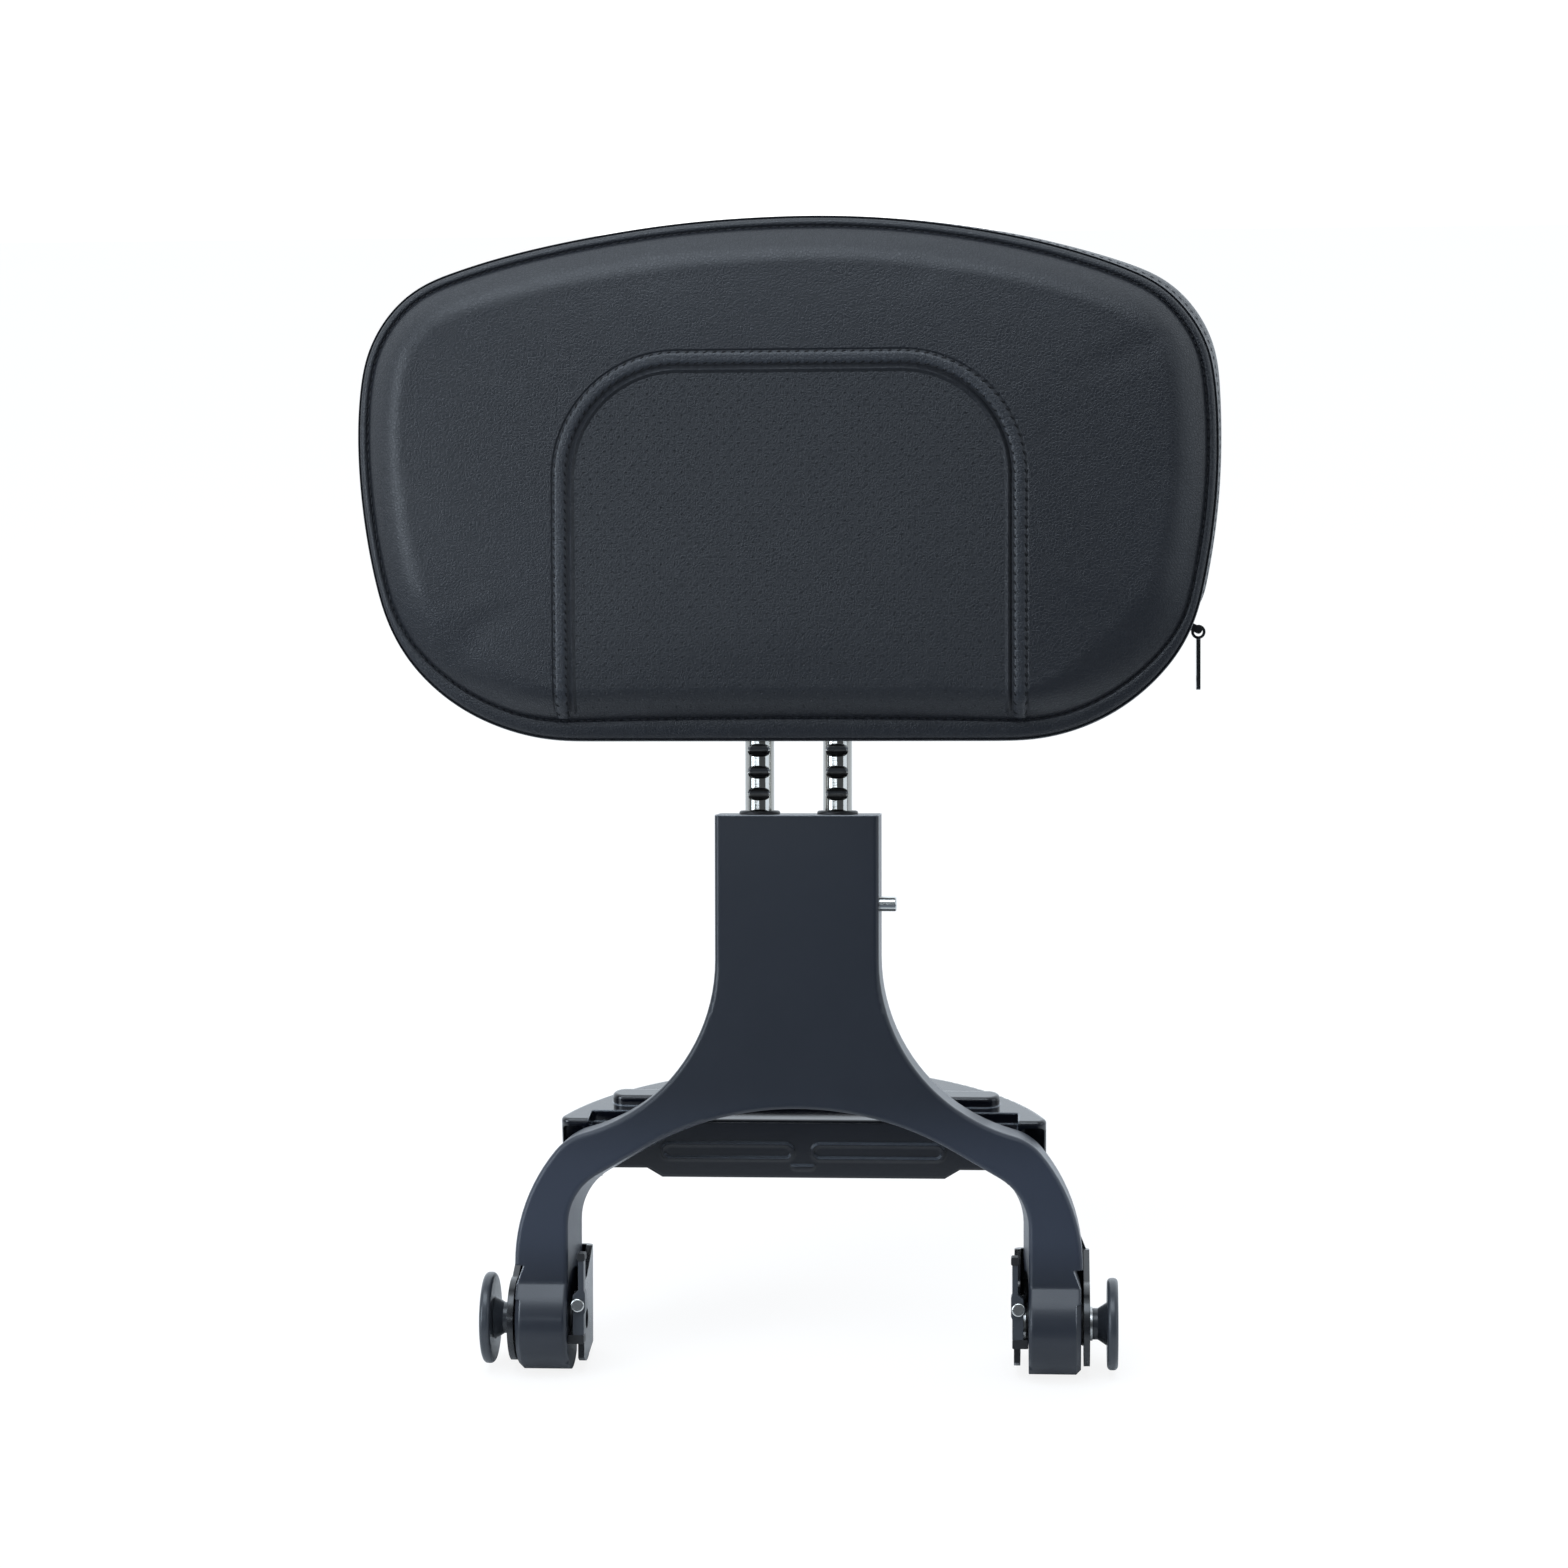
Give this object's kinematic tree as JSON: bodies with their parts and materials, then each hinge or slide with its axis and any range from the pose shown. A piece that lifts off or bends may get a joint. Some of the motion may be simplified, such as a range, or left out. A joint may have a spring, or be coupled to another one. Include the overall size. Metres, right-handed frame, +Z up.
{
  "type": "motorcycle driver backrest",
  "caption": "Padded backrest with a stitched centre insert on notched height posts, a fold-forward cast wishbone with clamp knobs, and a half-moon frame bracket.",
  "frame": {"origin": "centre of the four threaded inserts, on the bracket's seating plane", "axes": "+Z up, +Y to the rear of the motorcycle, so the cushion's front faces -Y; +X to the right as seen from in front of the cushion"},
  "size_m": [0.348, 0.1296, 0.4742],
  "materials": {
    "bracket_black": "satin",
    "casting_black": "satin",
    "yoke_black": "satin",
    "bolt_steel": "satin",
    "insert_brass": "satin",
    "latch_grey": "satin",
    "pin_bright": "polished",
    "latch_rubber": "matte",
    "knob_plastic": "satin",
    "bearing_nylon": "satin",
    "post_chrome": "polished",
    "cover_leather": "satin",
    "insert_leather": "matte",
    "zipper_tape": "matte",
    "zipper_metal": "satin",
    "cushion_foam": "matte",
    "board_wood": "matte"
  },
  "bodies": {
    "saddle": {"mount_bracket": "bracket_black", "threaded_inserts": "insert_brass", "leg_yoke_left": "yoke_black", "leg_yoke_right": "yoke_black", "leg_bolts": "bolt_steel", "pivot_nuts": "bolt_steel", "latch_pins": "pin_bright", "latch_springs": "bolt_steel"},
    "wishbone": {"wishbone": "casting_black", "post_bushings": "bearing_nylon", "pivot_bushings": "bearing_nylon", "spring_plug": "bolt_steel", "button_spring": "bolt_steel"},
    "release": {"lock_bar": "pin_bright"},
    "knob_left": {"knob_left": "knob_plastic", "knob_stud_left": "bolt_steel", "knob_washer_left": "bolt_steel"},
    "knob_right": {"knob_right": "knob_plastic", "knob_stud_right": "bolt_steel", "knob_washer_right": "bolt_steel"},
    "latch_left": {"latch_lever_left": "latch_grey", "latch_pads_left": "latch_rubber"},
    "latch_right": {"latch_lever_right": "latch_grey", "latch_pads_right": "latch_rubber"},
    "pad": {"pad_foam": "cushion_foam", "front_cover": "cover_leather", "centre_insert": "insert_leather", "insert_welt": "cover_leather", "edge_roll": "cover_leather", "upper_band": "cover_leather", "zipper_gusset": "zipper_tape", "zipper_chain": "zipper_tape", "zipper_slider": "zipper_metal", "rear_cover": "cover_leather", "back_board": "board_wood", "post_straps": "bolt_steel", "strap_screws": "bolt_steel", "post_left": "post_chrome", "post_right": "post_chrome"},
    "pull": {"zipper_pull": "zipper_metal"}
  },
  "joints": [
    {"name": "tilt", "type": "hinge", "parent": "saddle", "child": "wishbone", "pos_m": [0, -0.0716, -0.0547], "axis": [1, 0, 0], "range_deg": [-2.5, 85]},
    {"name": "height_slide", "type": "slide", "parent": "wishbone", "child": "pad", "axis": [0, 0.2079, 0.9781], "range_m": [-0.0273, 0.0273]},
    {"name": "release_button", "type": "slide", "parent": "wishbone", "child": "release", "axis": [-1, 0, 0], "range_m": [0, 0.0065], "stiffness_N_per_m": 400, "springref_m": -0.003, "deforming": ["button_spring"]},
    {"name": "knob_turn_left", "type": "hinge", "parent": "saddle", "child": "knob_left", "pos_m": [-0.13, -0.0716, -0.0547], "axis": [-1, 0, 0], "continuous": true},
    {"name": "knob_turn_right", "type": "hinge", "parent": "saddle", "child": "knob_right", "pos_m": [0.13, -0.0716, -0.0547], "axis": [1, 0, 0], "continuous": true},
    {"name": "latch_press_left", "type": "hinge", "parent": "saddle", "child": "latch_left", "pos_m": [-0.0915, -0.08167, -0.04438], "axis": [0, -0.9781, 0.2079], "range_deg": [0, 4], "stiffness_Nm_per_rad": 0.3, "springref_deg": -4.01},
    {"name": "latch_press_right", "type": "hinge", "parent": "saddle", "child": "latch_right", "pos_m": [0.0915, -0.08167, -0.04438], "axis": [0, 0.9781, -0.2079], "range_deg": [0, 4], "stiffness_Nm_per_rad": 0.3, "springref_deg": -4.01},
    {"name": "pull_swing", "type": "hinge", "parent": "pad", "child": "pull", "pos_m": [0.16496, -0.02587, 0.2297], "axis": [0, -0.9781, 0.2079], "range_deg": [-20, 100]}
  ]
}
